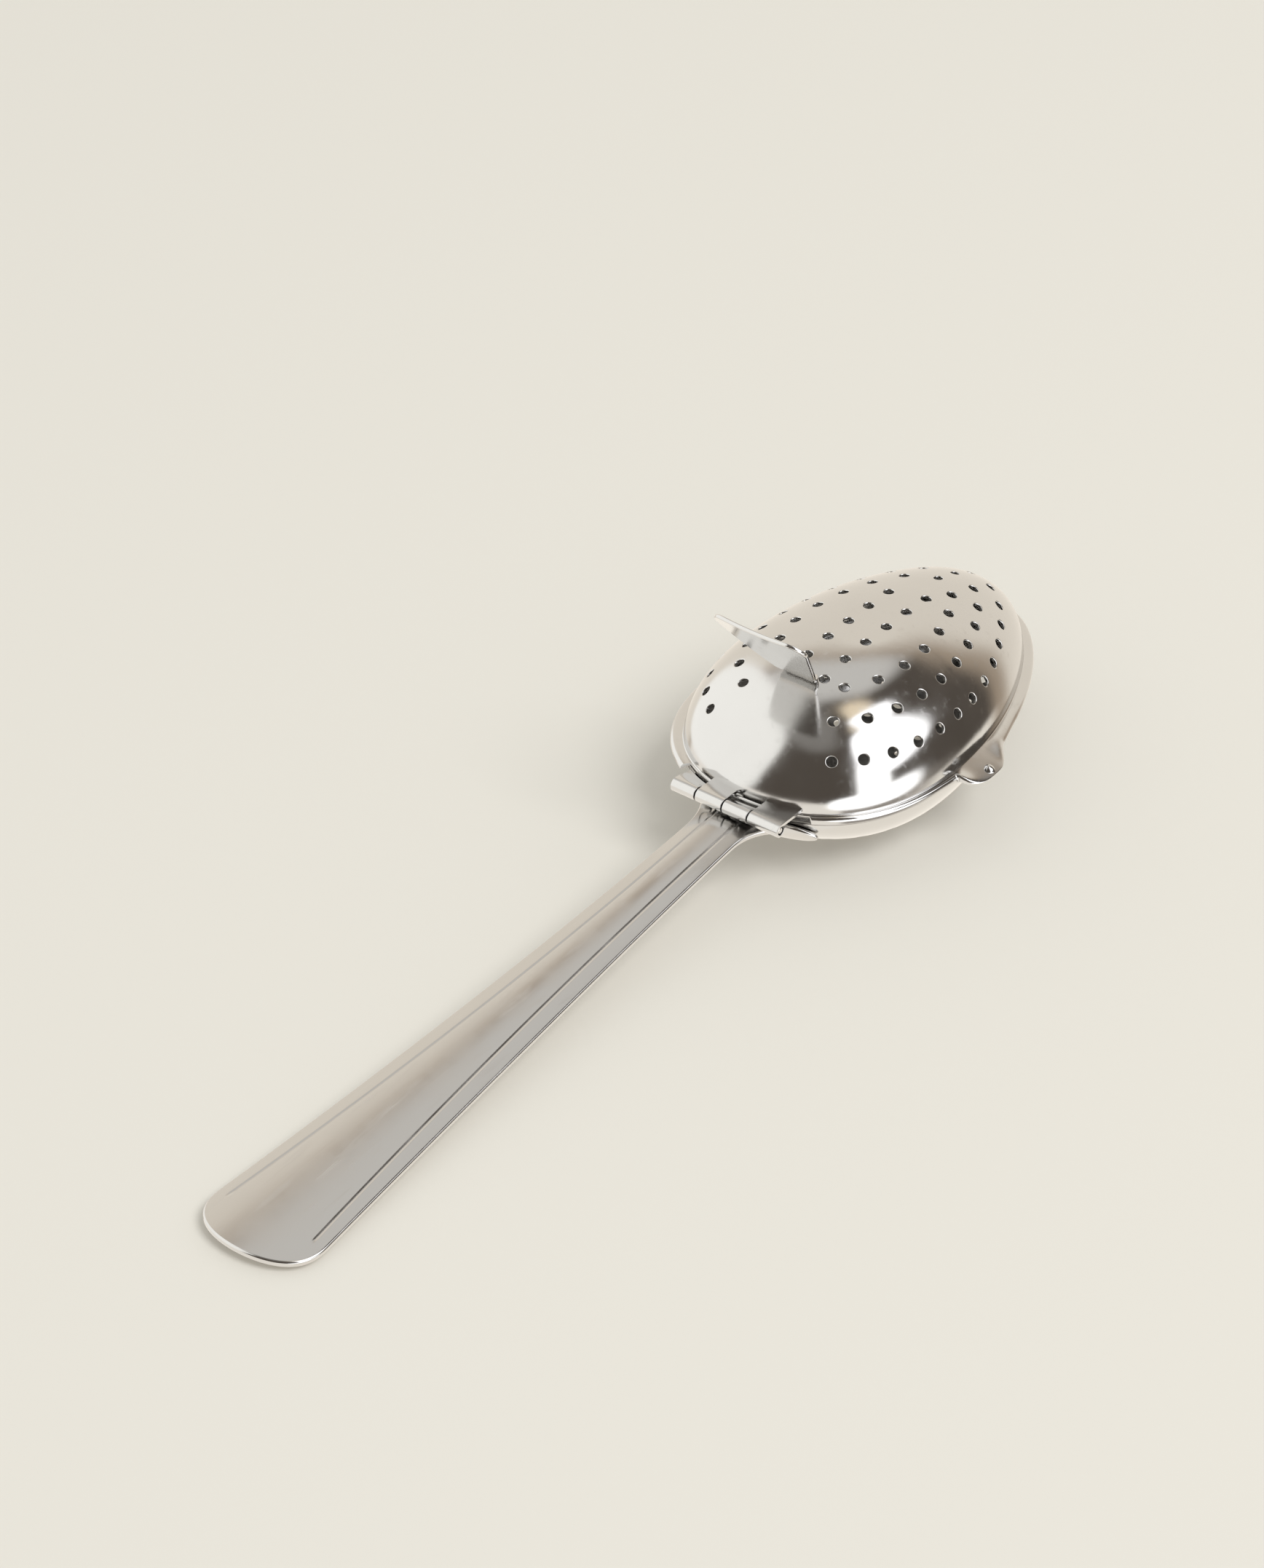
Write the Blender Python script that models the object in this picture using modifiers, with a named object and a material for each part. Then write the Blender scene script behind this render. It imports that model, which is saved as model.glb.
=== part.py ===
"""Tea infuser spoon: a perforated egg-shaped bowl with a hinged perforated lid on a flat handle.

The origin is the centre of the small flat under the bowl. +Y runs from the handle to the bowl's
tip, +X is the side with the latch ear, +Z is up. Lengths in the constants are millimetres.
"""

import math

import bmesh
import bpy
from mathutils import Matrix, Vector

MM = 0.001
NAME = "tea_infuser"

# Plan of the rim: an egg whose wide end is at the hinge, about the bowl's centre.
HALF_LENGTH = 31.5
HALF_WIDTH = 19.6
EGG = 0.252
SQUARENESS = 2.11

# Shells: heights above the table, and the shape of the pressed walls.
SHEET = 0.5
LID_BRIM = 1.7
BRIM_DROP = 0.35
BRIM_NARROW = 0.75
NARROW_Y = 3.0
NARROW_BLEND = 16.0
BOWL_FLANGE = 0.15
BOWL_RIM_Z = 10.4
LID_RIM_Z = 11.7
LID_TOP_Z = 25.3
WALL_POWER = 0.55
WALL_ROUND = 2.7
FLAT_SHARE = 0.22
TOUCH_GAP = 0.3

# Hinge: its axis lies along X above the rim at the handle's end.
HINGE_Y = -34.4
HINGE_Z = 11.6
BARREL_HALF = 9.44
BARREL_R = 1.05
BORE_R = 0.62
PIN_R = 0.55
KNUCKLE_ENDS = (-BARREL_HALF, -5.14, -0.42, 3.98, BARREL_HALF)
KNUCKLE_GAP = 0.2
NOTCH_HALF = 11.2
NOTCH_LIP = 0.3

# Latch ear on the lid's +X rim, with a pressed dimple.
EAR_Y = -3.4
EAR_NEAR = 5.0
EAR_FAR = 5.5
EAR_FADE = 13.0
EAR_REACH = 3.0
DIMPLE_X = 23.3
DIMPLE_R = 0.85
DIMPLE_SINK = 0.14

# Perforation: loops of holes from the tip round both sides, as shares of the outline in x, in y
# at the tip and in y at the hinge, then the last hole's outline angle and the steps on a side.
# Two staggered rows run along the middle.
HOLE_R = 0.78
HOLE_SIDES = 7
LOOPS = ((0.885, 0.80, 0.885, -61, 13), (0.695, 0.665, 0.725, -63, 10), (0.475, 0.525, 0.55, -60, 7))
ROW_X = 2.6
ROW_PITCH = 5.0
RIGHT_ROW_Y = 9.6
LEFT_ROW_Y = 12.6
ROW_HOLES = 6

# Handle: a stamped strip that widens to a rounded end resting on the table.
HANDLE_T = 1.0
HANDLE_END_Y = -138.0
NECK_Y = -35.4
NECK_HALF = 4.2
END_HALF = 9.8
END_ROUND = 8.0
NECK_FLARE = 2.4
FLARE_START_Y = -39.0
NECK_TOP_Z = 9.95
END_TOP_Z = 1.85
HANDLE_CROWN = 0.8
HANDLE_INNER_Y = -31.9
GROOVE_DEPTH = 0.12
GROOVE_HALF = 0.4
GROOVE_END_Y = -130.8

# Saddle: the handle's two lobes that wrap the bowl's wall under the hinge.
SADDLE_T = 0.8
SADDLE_HALF_ANGLE = math.radians(26.5)
SADDLE_TOP_Z = 10.1
SADDLE_LOW_Z = 7.0
SADDLE_TIP_Z = 7.8

# Thumb tab: a fan-shaped plate leaning back over the hinge, with a short foot on the lid.
TAB_T = 0.65
TAB_X = -0.9
TAB_ROOT_Y = -17.6
TAB_TIP = (-28.1, 36.9)
TAB_ROOT_HALF = 3.35
TAB_TIP_HALF = 7.9
TAB_CORNER = 2.6
FOOT_LENGTH = 1.4

STEEL = {"polished": (0.62, 0.61, 0.60, 0.10), "satin": (0.58, 0.57, 0.55, 0.25)}


def clear_scene():
    for obj in list(bpy.data.objects):
        bpy.data.objects.remove(obj)


def new_collection(name):
    collection = bpy.data.collections.new(name)
    bpy.context.scene.collection.children.link(collection)
    return collection


def steel(name, finish):
    """A steel material: grey level by channel, then roughness."""
    red, green, blue, roughness = STEEL[finish]
    material = bpy.data.materials.new(name)
    material.use_nodes = True
    shader = material.node_tree.nodes["Principled BSDF"]
    shader.inputs["Base Color"].default_value = (red, green, blue, 1.0)
    shader.inputs["Metallic"].default_value = 1.0
    shader.inputs["Roughness"].default_value = roughness
    return material


def signed_power(value, power):
    return math.copysign(abs(value) ** power, value)


def outline(angle, grow=0.0):
    """Plan point of the rim at an angle, moved outwards by grow."""
    cosine = signed_power(math.cos(angle), 2 / SQUARENESS)
    sine = signed_power(math.sin(angle), 2 / SQUARENESS)
    x = (HALF_WIDTH + grow) * cosine * (1 - EGG * math.sin(angle))
    return x, (HALF_LENGTH + grow) * sine


def outline_y(x):
    """The rim's y at the hinge end, for a given x."""
    low, high = -math.pi / 2, -0.3
    for _ in range(40):
        middle = (low + high) / 2
        if outline(middle)[0] < abs(x):
            low = middle
        else:
            high = middle
    return outline(low)[1]


def wall_height(share):
    """Height of the pressed wall, from 0 at the rim to 1 on the central flat."""
    flat = FLAT_SHARE ** WALL_ROUND
    blend = max(0.0, (share ** WALL_ROUND - flat) / (1 - flat))
    return max(0.0, 1 - blend) ** WALL_POWER


def share_at(height):
    """The share of the outline where the wall has this height."""
    flat = FLAT_SHARE ** WALL_ROUND
    blend = 1 - height ** (1 / WALL_POWER)
    return (blend * (1 - flat) + flat) ** (1 / WALL_ROUND)


def surface_point(angle, share, base, top):
    """A point of a shell's outer surface, and its outward normal."""

    def at(a, s):
        x, y = outline(a)
        return Vector((x * s, y * s, base + (top - base) * wall_height(s)))

    step = 1e-3
    point = at(angle, share)
    round_it = at(angle + step, share) - point
    inwards = at(angle, share - step) - point
    normal = round_it.cross(inwards).normalized()
    if normal.z * (top - base) < 0:
        normal.negate()
    return point, normal


def smooth(part):
    part = min(1.0, max(0.0, part))
    return part * part * (3 - 2 * part)


def lid_brim(angle):
    """Width and drop of the lid's brim: notched at the hinge, narrow beside it on the +X side,
    and bulging at the ear."""
    x, y = outline(angle, LID_BRIM)
    if y < 0 and abs(x) < NOTCH_HALF:
        return NOTCH_LIP, 0.0
    if x < 0:
        return LID_BRIM, BRIM_DROP
    narrow = smooth((NARROW_Y - y) / NARROW_BLEND)
    offset = y - EAR_Y
    bulge = max(0.0, 1 - abs(offset / EAR_NEAR) ** 3) ** 0.7
    if offset > 0:
        bulge = 0.7 * smooth(1 - (offset - 1.5) / EAR_FAR) + 0.3 * smooth(1 - offset / EAR_FADE)
    width = LID_BRIM + (BRIM_NARROW - LID_BRIM) * narrow + EAR_REACH * bulge
    return width, BRIM_DROP * (1 - 0.5 * bulge)


def bowl_flange(angle):
    """Width and drop of the bowl's flange, the same all round."""
    return BOWL_FLANGE, 0.0


def rim_angles():
    """Even angles round the rim, closer at the ear and doubled at the notch's two ends."""
    angles = [math.radians(degrees) for degrees in range(-84, 264, 8)]
    angles += [math.radians(degrees) for degrees in (-13, -10, -1, 2, 5, -5.5)]
    edge = min((abs(outline(a / 2000, LID_BRIM)[0] - NOTCH_HALF), a / 2000) for a in range(-3100, -1600))
    for offset in (-0.004, 0.004):
        angles.append(edge[1] + offset)
        angles.append(math.pi - edge[1] + offset)
    return sorted(angles)


def object_from(name, bm, collection):
    bmesh.ops.scale(bm, vec=(MM, MM, MM), verts=bm.verts)
    mesh = bpy.data.meshes.new(name)
    bm.to_mesh(mesh)
    bm.free()
    obj = bpy.data.objects.new(name, mesh)
    collection.objects.link(obj)
    return obj


def shaped_grid(name, columns, rows, place, collection, weld=False):
    """A grid whose vertices are put at place(column, row); weld joins the points that meet."""
    bm = bmesh.new()
    bmesh.ops.create_grid(bm, x_segments=columns, y_segments=rows, size=1)
    for vert in bm.verts:
        column = round((vert.co.x + 1) / 2 * columns)
        row = round((vert.co.y + 1) / 2 * rows)
        vert.co = place(column, row)
    if weld:
        bmesh.ops.remove_doubles(bm, verts=bm.verts, dist=1e-4)
        bmesh.ops.dissolve_degenerate(bm, edges=bm.edges, dist=1e-5)
    return object_from(name, bm, collection)


def thicken(obj, thickness, offset):
    modifier = obj.modifiers.new("sheet", "SOLIDIFY")
    modifier.thickness = thickness * MM
    modifier.offset = offset
    modifier.use_even_offset = True


def realised(obj, collection):
    """The object's evaluated mesh as a plain object under the same name."""
    name = obj.name
    bpy.context.view_layer.update()
    graph = bpy.context.evaluated_depsgraph_get()
    mesh = bpy.data.meshes.new_from_object(obj.evaluated_get(graph))
    place = obj.matrix_world.copy()
    bpy.data.objects.remove(obj)
    bm = bmesh.new()
    bm.from_mesh(mesh)
    bm.transform(place)
    bmesh.ops.remove_doubles(bm, verts=bm.verts, dist=1e-7)
    bmesh.ops.recalc_face_normals(bm, faces=bm.faces)
    bm.to_mesh(mesh)
    bm.free()
    result = bpy.data.objects.new(name, mesh)
    collection.objects.link(result)
    return result


def plate(name, points, z, thickness, collection):
    """A flat plate: a closed plan outline from z up by its thickness."""
    curve = bpy.data.curves.new(name, "CURVE")
    curve.dimensions = "2D"
    curve.fill_mode = "BOTH"
    curve.extrude = thickness / 2 * MM
    spline = curve.splines.new("POLY")
    spline.points.add(len(points) - 1)
    for target, (x, y) in zip(spline.points, points):
        target.co = (x * MM, y * MM, 0, 1)
    spline.use_cyclic_u = True
    obj = bpy.data.objects.new(name, curve)
    obj.location.z = (z + thickness / 2) * MM
    collection.objects.link(obj)
    return realised(obj, collection)


def cylinder(name, start, end, radius, sides, collection):
    bm = bmesh.new()
    start, end = Vector(start), Vector(end)
    axis = end - start
    turn = axis.to_track_quat("Z", "Y").to_matrix().to_4x4()
    bmesh.ops.create_cone(
        bm, cap_ends=True, segments=sides, radius1=radius, radius2=radius, depth=axis.length,
        matrix=Matrix.Translation((start + end) / 2) @ turn,
    )
    return object_from(name, bm, collection)


def combine(obj, other, operation):
    modifier = obj.modifiers.new(other.name, "BOOLEAN")
    modifier.operation = operation
    modifier.solver = "EXACT"
    modifier.object = other
    other.hide_render = True
    other.display_type = "WIRE"


def shell(name, base, top, flange, collection):
    """One pressed half: its wall, its flange and its sheet thickness."""
    angles = rim_angles()
    heights = [1, 0.995, 0.97, 0.92, 0.84, 0.72, 0.56, 0.38, 0.18, 0]
    shares = [0.0] + [share_at(height) for height in heights]
    rows = len(shares)
    columns = len(angles)

    def place(column, row):
        angle = angles[column % columns]
        if row == rows:
            width, drop = flange(angle)
            x, y = outline(angle, width)
            return Vector((x, y, base - drop))
        x, y = outline(angle)
        share = shares[row]
        return Vector((x * share, y * share, base + (top - base) * wall_height(share)))

    obj = shaped_grid(name, columns, rows, place, collection, weld=True)
    obj = realised(obj, collection)
    bm = bmesh.new()
    bm.from_mesh(obj.data)
    bmesh.ops.recalc_face_normals(bm, faces=bm.faces)
    bm.faces.ensure_lookup_table()
    centre = min(bm.faces, key=lambda face: face.calc_center_median().xy.length)
    if centre.normal.z * (top - base) < 0:
        bmesh.ops.reverse_faces(bm, faces=bm.faces)
    bm.to_mesh(obj.data)
    bm.free()
    thicken(obj, SHEET, -1.0)
    return realised(obj, collection)


def hole_places():
    """Plan points of the holes: even steps along the loops from the tip, then the two rows."""
    found = []
    for share_x, share_tip, share_hinge, last, steps in LOOPS:
        plan = []
        run = [0.0]
        for step in range(361):
            x, y = outline(math.radians(90 + (last - 90) * step / 360))
            plan.append((x * share_x, y * (share_tip if y > 0 else share_hinge)))
            if step:
                run.append(run[-1] + math.dist(plan[-2], plan[-1]))
        for step in range(steps + 1):
            wanted = run[-1] * step / steps
            x, y = plan[min(range(len(run)), key=lambda i: abs(run[i] - wanted))]
            found += [(x, y), (-x, y)] if step else [(0.0, y)]
    for step in range(ROW_HOLES):
        found.append((ROW_X, RIGHT_ROW_Y - ROW_PITCH * step))
        if step:
            found.append((-ROW_X, LEFT_ROW_Y - ROW_PITCH * step))
    return found


def polar(x, y):
    """Angle and share of the outline of a plan point."""
    low, high = (-math.pi / 2, math.pi / 2) if x >= 0 else (math.pi / 2, 3 * math.pi / 2)
    direction = math.atan2(y, x)
    if x < 0 and direction < 0:
        direction += 2 * math.pi
    for _ in range(40):
        middle = (low + high) / 2
        rim_x, rim_y = outline(middle)
        rim = math.atan2(rim_y, rim_x)
        if x < 0 and rim < 0:
            rim += 2 * math.pi
        if rim < direction:
            low = middle
        else:
            high = middle
    return low, math.hypot(x, y) / math.hypot(*outline(low))


def hole_cutter(name, base, top, collection):
    """All holes of one shell as one mesh of short cylinders set square to the wall."""
    bm = bmesh.new()
    for x, y in hole_places():
        angle, share = polar(x, y)
        point, normal = surface_point(angle, share, base, top)
        turn = normal.to_track_quat("Z", "Y").to_matrix().to_4x4()
        bmesh.ops.create_cone(
            bm, cap_ends=True, segments=HOLE_SIDES, radius1=HOLE_R, radius2=HOLE_R,
            depth=3.0, matrix=Matrix.Translation(point) @ turn,
        )
    return object_from(name, bm, collection)


def knuckle(name, first, last, flap_z, collection):
    """One rolled knuckle with the flap that ties it to its shell."""
    x0 = first + KNUCKLE_GAP / 2
    x1 = last - KNUCKLE_GAP / 2
    barrel = cylinder(name, (x0, HINGE_Y, HINGE_Z), (x1, HINGE_Y, HINGE_Z), BARREL_R, 20, collection)
    steps = 6
    points = [(x0, HINGE_Y), (x1, HINGE_Y)]
    for step in range(steps + 1):
        x = x1 + (x0 - x1) * step / steps
        points.append((x, outline_y(x) + SHEET / 2))
    flap = plate(name + "_flap", points, flap_z, SHEET, collection)
    combine(barrel, flap, "UNION")
    joined = realised(barrel, collection)
    bpy.data.objects.remove(flap)
    return joined


def hinge_half(body, name, indexes, flap_z, cutters):
    """Joins a shell's knuckles to it and bores them for the pin."""
    for index in indexes:
        first, last = KNUCKLE_ENDS[index], KNUCKLE_ENDS[index + 1]
        combine(body, knuckle(f"{name}_knuckle_{index + 1}", first, last, flap_z, cutters), "UNION")
    ends = (-BARREL_HALF - 2, BARREL_HALF + 2)
    bore = cylinder(
        name + "_bore", (ends[0], HINGE_Y, HINGE_Z), (ends[1], HINGE_Y, HINGE_Z), BORE_R, 20, cutters
    )
    combine(body, bore, "DIFFERENCE")


def make_lower_bowl(parts, cutters):
    bowl = shell("lower_bowl", BOWL_RIM_Z, 0.0, bowl_flange, parts)
    combine(bowl, hole_cutter("bowl_holes", BOWL_RIM_Z, 0.0, cutters), "DIFFERENCE")
    hinge_half(bowl, "bowl", (0, 2), HINGE_Z - 1.0, cutters)
    return bowl


def make_lid(parts, cutters):
    lid = shell("lid", LID_RIM_Z, LID_TOP_Z, lid_brim, parts)
    combine(lid, hole_cutter("lid_holes", LID_RIM_Z, LID_TOP_Z, cutters), "DIFFERENCE")
    hinge_half(lid, "lid", (1, 3), HINGE_Z + 0.45, cutters)
    bm = bmesh.new()
    ear_z = LID_RIM_Z - DIMPLE_SINK
    spot = Matrix.Translation((DIMPLE_X, EAR_Y, ear_z - SHEET / 3))
    bmesh.ops.create_uvsphere(bm, u_segments=12, v_segments=8, radius=DIMPLE_R, matrix=spot)
    bmesh.ops.delete(bm, geom=[v for v in bm.verts if v.co.z < ear_z - SHEET / 2], context="VERTS")
    bmesh.ops.holes_fill(bm, edges=bm.edges)
    bmesh.ops.recalc_face_normals(bm, faces=bm.faces)
    combine(lid, object_from("dimple", bm, cutters), "UNION")
    return lid


def handle_half_width(y):
    """Half the handle's width: wider into the saddle, a slow flare outwards, then the rounded end."""
    along = (NECK_Y - y) / (NECK_Y - HANDLE_END_Y)
    half = NECK_HALF + (END_HALF - NECK_HALF) * max(0.0, along) ** 1.5
    half += NECK_FLARE * max(0.0, (y - FLARE_START_Y) / (HANDLE_INNER_Y - FLARE_START_Y)) ** 2.2
    into_round = max(0.0, (HANDLE_END_Y + END_ROUND - y) / END_ROUND)
    return half * max(0.0, 1 - into_round ** 2.6) ** 0.5


def handle_top(y):
    """Height of the handle's top along its middle: a shallow arch from the end to the neck."""
    along = (y - HANDLE_END_Y) / (NECK_Y - HANDLE_END_Y)
    return END_TOP_Z + (NECK_TOP_Z - END_TOP_Z) * along * (0.74 + 0.26 * along)


def groove_x(y):
    """Distance of an engraved line from the middle."""
    along = (NECK_Y - y) / (NECK_Y - HANDLE_END_Y)
    return 2.0 + 6.0 * max(0.0, along) ** 1.87


def handle_section(y):
    """Points across the handle's top at y, from the middle out: (x, drop below the middle)."""
    half = handle_half_width(y)
    line = min(groove_x(y), half * 0.8)
    reach = min(GROOVE_HALF, (half - line) * 0.5)
    sunk = GROOVE_DEPTH if y > GROOVE_END_Y else 0.0
    crown = HANDLE_CROWN * (half / END_HALF) ** 0.5
    xs = [0, line * 0.55, line - reach, line, line + reach, (half + line + reach) / 2, half]
    sinks = [0, 0, 0, sunk, 0, 0, 0]
    return [(x, crown * (x / max(half, 0.1)) ** 2 + sink) for x, sink in zip(xs, sinks)]


def handle_rows():
    """Stations along the handle, closer together round its end."""
    rounds = [HANDLE_END_Y + END_ROUND * share ** 2 for share in (0.06, 0.2, 0.36, 0.52, 0.7, 0.85)]
    count = 22
    first, last = HANDLE_END_Y + END_ROUND, HANDLE_INNER_Y
    return rounds + [first + (last - first) * step / count for step in range(count + 1)]


def make_saddle(collection):
    """The band round the bowl's wall that the handle runs into."""
    columns, rows = 20, 4

    def place(column, row):
        across = 2 * column / columns - 1
        angle = -math.pi / 2 + across * SADDLE_HALF_ANGLE
        high = SADDLE_TIP_Z + (SADDLE_TOP_Z - SADDLE_TIP_Z) * max(0.04, 1 - abs(across) ** 3.2) ** 0.5
        low = SADDLE_TIP_Z - (SADDLE_TIP_Z - SADDLE_LOW_Z) * max(0.04, 1 - abs(across) ** 9) ** 0.5
        z = high + (low - high) * row / rows
        share = share_at((BOWL_RIM_Z - z) / BOWL_RIM_Z)
        point, normal = surface_point(angle, share, BOWL_RIM_Z, 0.0)
        return point + normal * (TOUCH_GAP + SADDLE_T / 2)

    band = shaped_grid("saddle", columns, rows, place, collection)
    thicken(band, SADDLE_T, 0.0)
    return realised(band, collection)


def make_handle(parts, cutters):
    stations = handle_rows()
    columns = 12

    def place(column, row):
        y = stations[row]
        side = -1 if column < columns // 2 else 1
        x, drop = handle_section(y)[abs(column - columns // 2)]
        return Vector((side * x, y, handle_top(y) - drop - HANDLE_T / 2))

    handle = shaped_grid("handle", columns, len(stations) - 1, place, parts)
    thicken(handle, HANDLE_T, 0.0)
    combine(handle, make_saddle(cutters), "UNION")
    return handle


def make_hinge_pin(parts):
    half = BARREL_HALF - 0.05
    return cylinder("hinge_pin", (-half, HINGE_Y, HINGE_Z), (half, HINGE_Y, HINGE_Z), PIN_R, 20, parts)


def lid_top_at(y):
    """Height of the lid's outer surface on its middle line."""
    return LID_RIM_Z + (LID_TOP_Z - LID_RIM_Z) * wall_height(abs(y) / HALF_LENGTH)


def make_thumb_tab(parts):
    """The leaning fan and its foot, which lies just over the lid."""
    rows, columns = 12, 10
    foot_rows = 2
    lift = TOUCH_GAP + TAB_T / 2 + 0.12

    def place(column, row):
        across = 2 * column / columns - 1
        if row < foot_rows:
            y = TAB_ROOT_Y + 0.8 + FOOT_LENGTH * (1 - row / foot_rows)
            return Vector((TAB_X + across * TAB_ROOT_HALF, y, lid_top_at(y) + lift))
        share = (row - foot_rows) / (rows - foot_rows)
        start = Vector((TAB_ROOT_Y, lid_top_at(TAB_ROOT_Y) + lift + 0.25))
        middle = start + (Vector(TAB_TIP) - start) * share
        half = TAB_ROOT_HALF + (TAB_TIP_HALF - TAB_ROOT_HALF) * share ** 0.9
        corner = max(0.0, (abs(across) - (1 - TAB_CORNER / half)) * half / TAB_CORNER)
        drop = share ** 8 * TAB_CORNER * (1 - math.sqrt(max(0.0, 1 - corner ** 2)))
        middle = middle - (Vector(TAB_TIP) - start).normalized() * drop
        return Vector((TAB_X + across * half, middle.x, middle.y))

    tab = shaped_grid("thumb_tab", columns, rows, place, parts)
    thicken(tab, TAB_T, 0.0)
    return tab


def finish_piece(obj, material):
    obj.data.materials.clear()
    obj.data.materials.append(material)
    obj.data.shade_smooth()
    obj.data.set_sharp_from_angle(angle=math.radians(40))


def hang_on_hinge(pieces, parts):
    """An empty on the hinge axis carries the pieces that swing."""
    pivot = bpy.data.objects.new("lid_pivot", None)
    pivot.location = (0, HINGE_Y * MM, HINGE_Z * MM)
    pivot.empty_display_size = 0.005
    parts.objects.link(pivot)
    bpy.context.view_layer.update()
    for piece in pieces:
        piece.parent = pivot
        piece.matrix_parent_inverse = pivot.matrix_world.inverted()


def main():
    clear_scene()
    parts = new_collection(NAME)
    cutters = new_collection("cutters")
    bowl = make_lower_bowl(parts, cutters)
    lid = make_lid(parts, cutters)
    handle = make_handle(parts, cutters)
    pin = make_hinge_pin(parts)
    tab = make_thumb_tab(parts)
    hang_on_hinge([lid, tab], parts)
    polished = steel("polished_steel", "polished")
    for obj in (bowl, lid, pin, tab):
        finish_piece(obj, polished)
    finish_piece(handle, steel("satin_steel", "satin"))


main()
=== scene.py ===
"""Looks for the hinged tea infuser: fine pressed-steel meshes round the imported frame.

Every mesh is worked out in millimetres from the same dimensions as the CAD model. The origin is
the centre of the flat under the bowl, +Y runs from the handle to the bowl's tip, +Z is up.
"""

import math

import bpy
import numpy as np
from mathutils import Matrix, Vector
from mathutils.geometry import delaunay_2d_cdt


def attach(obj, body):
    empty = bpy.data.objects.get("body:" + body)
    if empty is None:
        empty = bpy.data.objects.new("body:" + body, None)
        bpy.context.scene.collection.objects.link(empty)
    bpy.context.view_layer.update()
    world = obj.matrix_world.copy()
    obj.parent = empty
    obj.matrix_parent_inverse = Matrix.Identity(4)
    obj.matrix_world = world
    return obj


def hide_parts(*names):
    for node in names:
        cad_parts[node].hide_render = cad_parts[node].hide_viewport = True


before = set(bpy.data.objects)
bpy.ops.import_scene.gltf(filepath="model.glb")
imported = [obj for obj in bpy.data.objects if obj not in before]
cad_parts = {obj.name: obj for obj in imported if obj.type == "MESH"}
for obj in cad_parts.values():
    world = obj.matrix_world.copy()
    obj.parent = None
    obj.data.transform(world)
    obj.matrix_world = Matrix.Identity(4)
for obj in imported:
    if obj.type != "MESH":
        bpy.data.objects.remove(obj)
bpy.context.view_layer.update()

MM = 0.001

# Plan of the rim, as in the CAD model.
HALF_LENGTH = 31.5
HALF_WIDTH = 19.6
EGG = 0.252
SQUARENESS = 2.11

# Shells.
SHEET = 0.5
LID_BRIM = 1.7
LID_BRIM_DROP = 0.75
SKIRT_Y = 3.0
SKIRT_BLEND = 16.0
SKIRT_OUT = 0.75
SKIRT_DROP = 1.0
BRIM_SHEET = 0.3
BOWL_FLANGE = 0.15
BOWL_RIM_Z = 10.4
LID_RIM_Z = 11.7
LID_TOP_Z = 25.3
WALL_POWER = 0.55
WALL_ROUND = 2.7
FLAT_SHARE = 0.22
FLAT_EASE = 0.004
CREASE_R = 0.2
MEAN_R = 25.0

# Hinge.
HINGE_Y = -34.4
HINGE_Z = 11.6
BARREL_HALF = 9.44
BARREL_R = 1.05
BORE_R = 0.66
PIN_R = 0.5
PIN_RECESS = 0.2
PIN_DOME = 0.16
KNUCKLE_ENDS = (-BARREL_HALF, -5.14, -0.42, 3.98, BARREL_HALF)
KNUCKLE_GAP = 0.2
RISER_OUT = 1.15
NOTCH_HALF = 11.2
NOTCH_LIP = 0.3

# Latch ear and its dimple.
EAR_Y = -3.4
EAR_NEAR = 5.0
EAR_FAR = 5.5
EAR_FADE = 13.0
EAR_REACH = 3.0
EAR_SLOPE = 0.15
DIMPLE_X = 23.3
DIMPLE_R = 0.85
DIMPLE_FOOT_Z = 10.79
DIMPLE_LEAN = 0.23
DIMPLE_HEIGHT = 0.85

# Perforation.
HOLE_R = 0.78
HOLE_LIP = 0.16
# Loops of holes: shares of the outline in x, in y at the tip and in y at the hinge, then the
# outline angle of the last hole on either side and how many follow the one at the tip.
LOOPS = ((0.885, 0.80, 0.885, -61, 13), (0.695, 0.665, 0.725, -63, 10), (0.475, 0.525, 0.55, -60, 7))
ROW_X = 2.6
ROW_PITCH = 5.0
RIGHT_ROW_Y = 9.6
LEFT_ROW_Y = 12.6
ROW_HOLES = 6

# Handle.
HANDLE_T = 1.0
HANDLE_END_Y = -138.0
NECK_Y = -35.4
NECK_HALF = 4.2
END_HALF = 9.8
END_ROUND = 8.0
NECK_FLARE = 2.4
FLARE_START_Y = -39.0
NECK_TOP_Z = 9.95
END_TOP_Z = 1.85
HANDLE_CROWN = 0.8
HANDLE_INNER_Y = -31.9
GROOVE_DEPTH = 0.09
GROOVE_HALF = 0.34
GROOVE_END_Y = -130.8
GROOVE_NECK_X = 2.0
GROOVE_SPREAD = 6.0

# Saddle.
SADDLE_T = 0.8
SADDLE_GAP = 0.15
SADDLE_HALF_ANGLE = math.radians(26.5)
SADDLE_TOP_Z = 10.2
SADDLE_LOW_Z = 7.0

# Thumb tab.
TAB_T = 0.65
TAB_TIP = (-28.1, 36.9)
TAB_ROOT_HALF = 3.35
TAB_TIP_HALF = 7.9
TAB_CORNER = 2.6
TAB_X = -0.9
TAB_BEND = (-17.5, 24.4)
TAB_BEND_REACH = 0.7
TAB_FOOT_Y = -15.9
TAB_DISH = -0.4
TAB_FOOT_ROUND = 0.7

# Fineness of the shells: points round a hole, points round the rim, space between the loose
# points, and the rings of points set round each hole, outwards from its lip.
HOLE_SEGMENTS = 20
COLUMNS = 480
POINT_SPACING = 0.85
HOLE_RINGS = (0.0, 0.2, 0.55)
HOLE_CLEARANCE = 0.95
# Part of a shell's height, at the foot of the wall, that is left to the rim's even rows.
FOOT_SHARE = 0.33

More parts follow.
